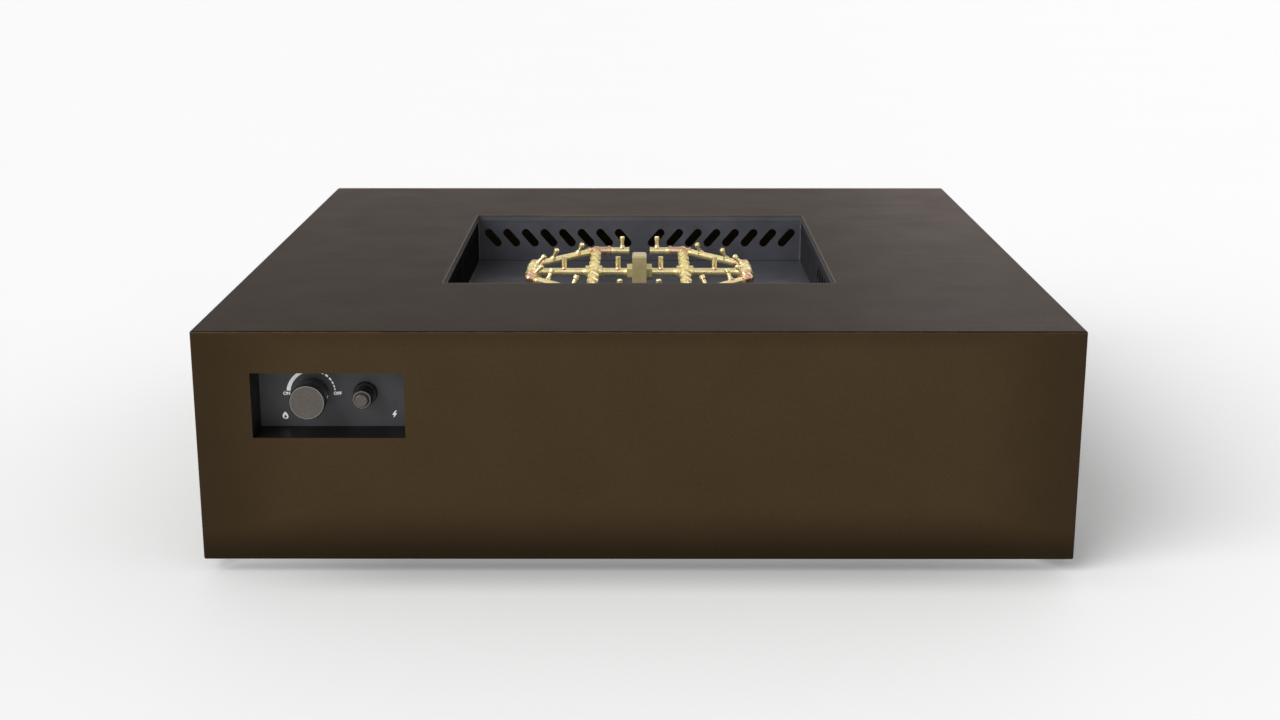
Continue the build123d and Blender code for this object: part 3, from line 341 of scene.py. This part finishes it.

# Nodes whose look differs from the rest of their slot. The two side liners are the same painted
# steel as the rest of the bay: their darker colour is painted shade, deeper on the left one.
CAP_RIM = 0.0128             # the cap is black outside this
BUTTON_RIM = 0.0087          # and the button outside this
KNOB_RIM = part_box("knob_cap")[1].x - KNOB_AXIS.x
CAP_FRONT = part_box("igniter_cap")[0].y
KNOB_RING = 0.0007           # black ring round the knob's face
CAP_LIP = 0.0014             # depth of the cap's bright front
OWN_LOOKS = {
    "burner_hub": turned_metal(
        "hub_brass", rgb(190, 172, 122), rgb(214, 197, 152), 0.36, 0.3, rgb(160, 136, 88), 0.6
    ),
    # painted shade: the left liner, darkest of the bay's walls
    "liner_left": painted(
        "left_liner_painted_shade", rgb(16, 16, 18), rgb(26, 26, 29), 0.035, 0.7, 0.0012, 0.00008, 0.0, 0.0
    ),
    # painted shade: the right liner, darker than the back and front walls
    "liner_right": painted(
        "right_liner_painted_shade", rgb(32, 32, 35), rgb(44, 44, 48), 0.035, 0.6, 0.0012, 0.00008, 0.0, 0.1
    ),
    "opening_frame": painted(
        "rim_grey", rgb(72, 73, 77), rgb(90, 91, 96), 0.035, 0.45, 0.0012, 0.00008, 0.3
    ),
    "knob_cap": control_face("knob_face", KNOB_AXIS, KNOB_RIM - KNOB_RING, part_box("knob_cap")[1].y),
    "igniter_button": control_face("button_face", IGNITER_AXIS, BUTTON_RIM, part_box("igniter_button")[1].y),
    "igniter_cap": control_face("cap_face", IGNITER_AXIS, CAP_RIM, CAP_FRONT + CAP_LIP),
}

for part in frame["record"]["subparts"]:
    mesh = NODES[part["node"]].data
    mesh.materials.clear()
    mesh.materials.append(OWN_LOOKS.get(part["node"]) or MATERIALS[part["material_slot"]])


# ---- Mesh helpers ----------------------------------------------------------------------------
def piece(name, body, material, build, sharp=radians(35)):
    """Make one mesh piece: build(bm) fills it, edges above the sharp angle stay crisp."""
    bm = bmesh.new()
    build(bm)
    bmesh.ops.recalc_face_normals(bm, faces=bm.faces)
    for face in bm.faces:
        face.smooth = True
    for edge in bm.edges:
        edge.smooth = len(edge.link_faces) == 2 and edge.calc_face_angle() < sharp
    mesh = bpy.data.meshes.new(name)
    bm.to_mesh(mesh)
    bm.free()
    mesh.materials.append(material)
    made = bpy.data.objects.new(name, mesh)
    bpy.context.scene.collection.objects.link(made)
    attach(made, body)
    return made


def slab(bm, outline, frame_of, thickness):
    """Add a flat plate: outline points in the plane, thickness towards +local z."""
    lower = [bm.verts.new(frame_of @ Vector((x, y, 0.0))) for x, y in outline]
    upper = [bm.verts.new(frame_of @ Vector((x, y, thickness))) for x, y in outline]
    bm.faces.new(lower)
    bm.faces.new(upper)
    for index in range(len(outline)):
        after = (index + 1) % len(outline)
        bm.faces.new((lower[index], lower[after], upper[after], upper[index]))


def lathe(bm, origin, axis, profile, segments=40):
    """Turn a closed outline of (radius, distance along the axis) pairs about an axis."""
    place = Matrix.Translation(origin) @ Vector(axis).to_track_quat("Z", "Y").to_matrix().to_4x4()
    angles = [tau * step / segments for step in range(segments)]
    rings = [
        [bm.verts.new(place @ Vector((radius * cos(angle), radius * sin(angle), along))) for angle in angles]
        for radius, along in profile
    ]
    for near, far in zip(rings, rings[1:] + rings[:1]):
        for step in range(segments):
            after = (step + 1) % segments
            bm.faces.new((near[step], near[after], far[after], far[step]))


# ---- Control panel ---------------------------------------------------------------------------
INK = 0.12 * MM              # ink stands this far off the plate
MERGE = 0.005 * MM           # corners of neighbouring strokes closer than this become one
PANEL = Matrix.Translation((0, PLATE_FACE, 0)) @ Matrix.Rotation(pi / 2, 4, "X")
TEXT_Z = KNOB_AXIS.z - 0.9 * MM
WHITE = print_white()


def plate_point(angle, radius):
    """Point on the control plate, at an angle from the OFF side round the knob's axis."""
    return (KNOB_AXIS.x + radius * cos(angle), KNOB_AXIS.z + radius * sin(angle))


def dial_stroke(bm, start, end):
    """Stretch of the dial's stroke, which thins from the ON side to the OFF side."""
    inner_at_on, outer_at_on = 31.9, 37.7        # millimetres from the knob's axis
    inner_drop, outer_drop = 1.8, 6.2            # how much nearer both edges are at OFF
    steps = max(2, round((end - start) / radians(3)))
    inner, outer = [], []
    for step in range(steps + 1):
        angle = start + (end - start) * step / steps
        thinned = 1 - angle / pi
        inner.append(plate_point(angle, (inner_at_on - inner_drop * thinned) * MM))
        outer.append(plate_point(angle, (outer_at_on - outer_drop * thinned) * MM))
    for step in range(steps):
        corners = [inner[step], outer[step], outer[step + 1], inner[step + 1]]
        slab(bm, corners, PANEL, INK)


def dial(bm):
    """Half turn over the knob: solid from ON, then dashes that shrink towards OFF."""
    lit = 0.62               # share of each step that is inked
    growth, longest = radians(1.5), radians(13)
    dashes_end, stroke_end = radians(96), radians(174.5)
    middle_angle, step = radians(10), radians(8.2)
    while middle_angle < dashes_end:
        dial_stroke(bm, middle_angle - lit * step / 2, middle_angle + lit * step / 2)
        middle_angle += step
        step = min(step + growth, longest)
    dial_stroke(bm, middle_angle - step / 2, stroke_end)
    bmesh.ops.remove_doubles(bm, verts=bm.verts, dist=MERGE)


def flame_mark(bm):
    """Plain flame outline, at the lower left of the knob."""
    centre_x, centre_z, points = KNOB_AXIS.x - 40.7 * MM, KNOB_AXIS.z - 32.6 * MM, 28
    half_width, half_height, bend = 5.4 * MM, 5.3 * MM, 0.9 * MM
    core_width, core_height, core_drop = 2.5 * MM, 2.4 * MM, 1.6 * MM
    outer, inner = [], []
    for step in range(points):
        angle = tau * step / points
        width, rise = sin(angle) * sin(angle / 2), -cos(angle)
        sway = bend * max(rise, 0) ** 2
        outer.append((centre_x + half_width * width + sway, centre_z - half_height * rise))
        inner.append((centre_x + core_width * width + sway / 2, centre_z - core_drop - core_height * rise))
    for step in range(points):
        after = (step + 1) % points
        slab(bm, [outer[step], outer[after], inner[after], inner[step]], PANEL, INK)
    bmesh.ops.remove_doubles(bm, verts=bm.verts, dist=MERGE)


def spark_mark(bm):
    """Plain lightning bolt, at the lower right of the igniter."""
    x, z = IGNITER_AXIS.x + 39.4 * MM, KNOB_AXIS.z - 31.1 * MM
    bolt = [(1.6, 5.4), (-3.6, -0.9), (-0.6, -0.9), (-1.8, -5.4), (3.8, 1.3), (0.7, 1.3), (3.2, 5.4)]
    slab(bm, [(x + across * MM, z + up * MM) for across, up in bolt], PANEL, INK)


def label(name, text, x):
    """Short printed word on the control plate."""
    data = bpy.data.curves.new(name, "FONT")
    data.body = text
    data.size = 6.3 * MM
    data.offset = 0.22 * MM
    data.extrude = INK / 2
    data.align_x = "CENTER"
    data.align_y = "CENTER"
    data.materials.append(WHITE)
    word = bpy.data.objects.new(name, data)
    word.location = (x, PLATE_FACE - INK / 2, TEXT_Z)
    word.rotation_euler = Euler((pi / 2, 0, 0))
    bpy.context.scene.collection.objects.link(word)
    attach(word, "table")
    return word


def pointer(bm):
    """Inlaid tick on the knob's side, along its cone, which points at OFF."""
    front, back = KNOB_AXIS.y + 23 * MM, KNOB_AXIS.y + 35 * MM
    half_width, proud, sunk = 0.7 * MM, 0.15 * MM, 0.5 * MM
    radius_front, radius_back = 23.9 * MM, 23.15 * MM
    corners = [(radius_front, front), (radius_back, back)]
    rings = []
    for radius, y in corners:
        rings.append([
            bm.verts.new((KNOB_AXIS.x + radius + out, y, KNOB_AXIS.z + side * half_width))
            for out, side in ((-sunk, -1), (proud, -0.8), (proud, 0.8), (-sunk, 1))
        ])
    for step in range(4):
        after = (step + 1) % 4
        bm.faces.new((rings[0][step], rings[0][after], rings[1][after], rings[1][step]))
    bm.faces.new(rings[0])
    bm.faces.new(rings[1])


piece("dial_stroke", "table", WHITE, dial)
piece("flame_mark", "table", WHITE, flame_mark)
piece("spark_mark", "table", WHITE, spark_mark)
label("word_on", "ON", KNOB_AXIS.x - 37.2 * MM)
label("word_off", "OFF", KNOB_AXIS.x + 34.3 * MM)
piece("knob_pointer", "knob", WHITE, pointer)


# ---- Burner details --------------------------------------------------------------------------
BURNER_Z = middle("spine_pipes").z
PIPE_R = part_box("spine_pipes")[1].z - BURNER_Z
HUB_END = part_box("hub_collars")[1].x
CROSS_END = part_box("crosses")[1].x
CROSS_END_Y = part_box("crosses")[1].y
TEE_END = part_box("spine_pipes")[1].x
FITTING_ARM = 14 * MM        # a tee's or a cross's arm along the spine
TEE_X = TEE_END + FITTING_ARM
BRANCH_X = CROSS_END - FITTING_ARM
ELBOW_Y = 58 * MM
CORNER_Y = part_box("end_pipes")[1].y - PIPE_R
END_PIPE_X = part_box("end_pipes")[1].x
ELBOW_ARM, CORNER_ARM = 20 * MM, 24 * MM
OUTER_ELBOW_R = 8.0 * MM
SPINE_JET_X = (36 * MM, 127 * MM)
DIAGONAL_JET_AT = (44 * MM, 110 * MM)        # along the diagonal from its outer corner
DIAGONAL_LEAN = radians(30)
END_JET_X = 31 * MM
TEE_JET_Y = 42 * MM
SIGNS = [(sx, sy) for sx in (-1, 1) for sy in (-1, 1)]


def diagonal(sx, sy):
    """Outer corner, direction and length of one diagonal pipe's centre line."""
    start = Vector((sx * TEE_X, sy * ELBOW_Y, BURNER_Z))
    span = Vector((sx * BRANCH_X, sy * CORNER_Y, BURNER_Z)) - start
    return start, span.normalized(), span.length


def thread(bm, start, direction):
    """Four turns of pipe thread that run out of a fitting's mouth."""
    pitch, turns = 1.3 * MM, 4
    crest, fade = 0.45 * MM, 0.18            # each turn loses this share of the first crest
    root, sunk = PIPE_R + 0.03 * MM, PIPE_R - 0.4 * MM
    outline = [(sunk, 0.0)]
    for turn in range(turns):
        depth = crest * (1 - fade * turn)
        outline += [(root, turn * pitch), (PIPE_R + depth, (turn + 0.5) * pitch)]
    outline += [(root, turns * pitch), (sunk, turns * pitch)]
    lathe(bm, start, direction, outline)


def pipe_threads(bm):
    """Threads at every mouth where a pipe enters a fitting."""
    for side in (-1, 1):
        for x, way in ((HUB_END, 1), (BRANCH_X - FITTING_ARM, -1), (CROSS_END, 1), (TEE_END, -1)):
            thread(bm, (side * x, 0, BURNER_Z), (side * way, 0, 0))
    for sx, sy in SIGNS:
        thread(bm, (sx * BRANCH_X, sy * CROSS_END_Y, BURNER_Z), (0, sy, 0))
        thread(bm, (sx * BRANCH_X, sy * (CORNER_Y - CORNER_ARM), BURNER_Z), (0, -sy, 0))
        thread(bm, (sx * END_PIPE_X, sy * CORNER_Y, BURNER_Z), (-sx, 0, 0))
        start, way, length = diagonal(sx, sy)
        thread(bm, start + way * ELBOW_ARM, way)
        thread(bm, start + way * (length - CORNER_ARM), -way)


def braze(bm, pipe_point, direction, pipe_radius, foot_radius):
    """Fillet of braze round a jet's foot, on its pipe's crown."""
    low, high = pipe_radius - 1.4 * MM, pipe_radius + 1.5 * MM
    skirt = foot_radius + 1.5 * MM
    outline = [
        (foot_radius - 0.2 * MM, low),
        (skirt, low),
        (skirt, pipe_radius - 0.7 * MM),
        (foot_radius + 0.5 * MM, pipe_radius + 0.2 * MM),
        (foot_radius + 0.05 * MM, high),
        (foot_radius - 0.2 * MM, high),
    ]
    lathe(bm, pipe_point, direction, outline)


def jet_brazing(bm):
    """Braze round the upright spine jets and the cupped jets of the two side loops."""
    foot, pillar = 4.2 * MM, 4.15 * MM
    for side in (-1, 1):
        for x in SPINE_JET_X:
            braze(bm, (side * x, 0, BURNER_Z), (0, 0, 1), PIPE_R, pillar)
    for sx, sy in SIGNS:
        start, way, _ = diagonal(sx, sy)
        inward = Vector((-sx * abs(way.y), -sy * abs(way.x), 0))
        lean = inward * sin(DIAGONAL_LEAN) + Vector((0, 0, cos(DIAGONAL_LEAN)))
        for along in DIAGONAL_JET_AT:
            braze(bm, start + way * along, lean, PIPE_R, foot)
        braze(bm, (sx * END_JET_X, sy * CORNER_Y, BURNER_Z), (0, 0, 1), PIPE_R, foot)
        braze(bm, (sx * TEE_X, sy * TEE_JET_Y, BURNER_Z), (-sx, 0, 1), OUTER_ELBOW_R, foot)


piece("pipe_threads", "table", MATERIALS["brass"], pipe_threads)
piece("jet_brazing", "table", MATERIALS["copper_brass"], jet_brazing)


# ---- Springs ---------------------------------------------------------------------------------
def coil_spring(bm, node, wire, turns):
    """Compression spring along Y in a node's box: open turns between two closed end turns."""
    low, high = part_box(node)
    centre, radius = middle(node), (high.x - low.x) / 2 - wire
    steps, corners = 36, 10
    count = (turns + 2) * steps
    open_rise = (high.y - low.y - 6 * wire) / turns
    rings = []
    for index in range(count + 1):
        turn = index / steps
        opened = min(max(turn - 1, 0), turns)
        along = low.y + wire + 2 * wire * (turn - opened) + open_rise * opened
        angle = tau * turn
        out = Vector((cos(angle), 0, sin(angle)))
        hub = Vector((centre.x, along, centre.z)) + out * radius
        ring = []
        for corner in range(corners):
            around = tau * corner / corners
            ring.append(bm.verts.new(hub + wire * (out * cos(around) + Vector((0, sin(around), 0)))))
        rings.append(ring)
    for near, far in zip(rings, rings[1:]):
        for corner in range(corners):
            after = (corner + 1) % corners
            bm.faces.new((near[corner], near[after], far[after], far[corner]))
    bm.faces.new(rings[0])
    bm.faces.new(rings[-1])


for node, joint, wire, turns in (
    ("stem_spring", "knob_push", 0.6 * MM, 3),
    ("button_spring", "igniter_press", 0.5 * MM, 7),
):
    spring = piece(
        node + "_coil", "table", MATERIALS["zinc_steel"], lambda bm: coil_spring(bm, node, wire, turns)
    )
    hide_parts(node)
    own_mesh(spring)


# ---- Fire bay --------------------------------------------------------------------------------
LINER_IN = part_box("bay_floor")[1].x + 0.5 * MM
BAY_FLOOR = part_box("bay_floor")[1].z
BAY_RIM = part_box("opening_frame")[0].z


def corner_welds(bm):
    """Rippled bead of weld up each corner of the bay."""
    ripples, depth = 48, 0.16 * MM
    core, bead, inset = 0.05 * MM, 1.15 * MM, 0.5 * MM
    height = BAY_RIM - BAY_FLOOR
    for sx, sy in SIGNS:
        outline = [(core, 0.0)]
        for ripple in range(ripples + 1):
            swell = depth * cos(pi * ripple)
            outline.append((bead + swell, height * ripple / ripples))
        outline.append((core, height))
        corner = (sx * (LINER_IN - inset), sy * (LINER_IN - inset), BAY_FLOOR)
        lathe(bm, corner, (0, 0, 1), outline, 12)


def floor_seal(bm):
    """Thin fillet of sealant where the bay's walls meet its floor."""
    wide, high = 1.6 * MM, 1.1 * MM
    for turn in range(4):
        angle = Matrix.Rotation(turn * pi / 2, 4, "Z")
        along = Matrix.Rotation(pi / 2, 4, "Y")
        place = angle @ Matrix.Translation((-LINER_IN, -LINER_IN, BAY_FLOOR)) @ along
        outline = [(0, 0), (-high, 0), (-high * 0.7, wide * 0.35), (0, wide)]
        slab(bm, outline, place, 2 * LINER_IN)


piece("bay_welds", "table", OWN_LOOKS["opening_frame"], corner_welds, radians(60))
piece("floor_seal", "table", MATERIALS["frame_paint"], floor_seal)


# ---- Camera ----------------------------------------------------------------------------------
def make_camera():
    """View from 0.92 m up and 2.3 m in front of the table's front, aimed down at it."""
    data = bpy.data.cameras.new("camera")
    data.sensor_width = 36.0
    data.lens = 49.9
    camera = bpy.data.objects.new("camera", data)
    camera.location = (0.0053, -2.9453, 0.9206)
    camera.rotation_euler = Euler((pi / 2 - 0.25606, 0.0, 0.00145))
    bpy.context.scene.collection.objects.link(camera)
    bpy.context.scene.camera = camera


make_camera()


# ---- Studio ----------------------------------------------------------------------------------
def make_floor():
    """Wide pale floor with painted light: shade in front, a faint glow under the body's edge."""
    side, thickness = 60.0, 0.01
    corners = [(-side, -side), (side, -side), (side, side), (-side, side)]
    bm = bmesh.new()
    slab(bm, corners, Matrix.Translation((0, 0, -thickness)), thickness)
    mesh = bpy.data.meshes.new("floor")
    bm.to_mesh(mesh)
    bm.free()
    floor = bpy.data.objects.new("floor", mesh)
    bpy.context.scene.collection.objects.link(floor)
    look = Recipe("floor_white", {"Roughness": 0.7})
    pale = look.mixed(look.noise(0.6, 2.0), (0.945, 0.945, 0.945, 1), (0.965, 0.965, 0.965, 1))
    x, y, _ = look.parts()
    along = look.math("MULTIPLY", look.span(x, -0.6, -0.3), look.span(x, 0.3, 0.8, 1.0, 0.0))
    approach = look.span(y, -HALF - 0.09, -HALF, 0.0, 0.3)
    front = look.math("MULTIPLY", approach, look.span(y, -0.5, -0.3, 1.0, 0.0))
    look.colour(look.mixed(look.math("MULTIPLY", front, along), pale, (0, 0, 0, 1)))
    reach = look.math("MAXIMUM", look.math("ABSOLUTE", x), look.math("ABSOLUTE", y))
    inner_side = look.span(reach, HALF - 0.16, HALF - 0.09)
    under = look.math("MULTIPLY", inner_side, look.span(reach, HALF - 0.055, HALF + 0.002, 1.0, 0.0))
    look.shader.inputs["Emission Color"].default_value = (1, 1, 1, 1)
    brightest, dimmed = 0.45, 0.16
    glow = look.math("SUBTRACT", brightest, look.math("MULTIPLY", along, dimmed))
    look.feed(look.shader.inputs["Emission Strength"], look.math("MULTIPLY", under, glow))
    mesh.materials.append(look.material)


def sun(name, origin, spread, strength, colour=(1, 1, 1)):
    """Distant soft light shining from a direction onto the table."""
    data = bpy.data.lights.new(name, "SUN")
    data.angle = radians(spread)
    data.energy = strength
    data.color = colour
    light = bpy.data.objects.new(name, data)
    light.rotation_euler = Vector(origin).to_track_quat("Z", "Y").to_euler()
    bpy.context.scene.collection.objects.link(light)


def make_world():
    """Soft white studio whose ceiling is darker than its walls."""
    world = bpy.data.worlds.new("studio")
    world.use_nodes = True
    nodes, links = world.node_tree.nodes, world.node_tree.links
    direction = nodes.new("ShaderNodeTexCoord")
    heights = nodes.new("ShaderNodeSeparateXYZ")
    links.new(direction.outputs["Generated"], heights.inputs[0])
    fade = nodes.new("ShaderNodeMapRange")
    links.new(heights.outputs["Z"], fade.inputs["Value"])
    fade.inputs["From Min"].default_value = 0.45
    fade.inputs["From Max"].default_value = 0.85
    fade.inputs["To Min"].default_value = 0.84
    fade.inputs["To Max"].default_value = 0.4
    background = nodes["Background"]
    background.inputs["Color"].default_value = (1, 1, 1, 1)
    links.new(fade.outputs["Result"], background.inputs["Strength"])
    bpy.context.scene.world = world


make_floor()
sun("key", (-1.0, -0.9, 0.9), 50, 2.3)
sun("back_right", (1.0, 1.6, 0.45), 50, 0.3)
make_world()
bpy.context.scene.view_settings.view_transform = "Standard"
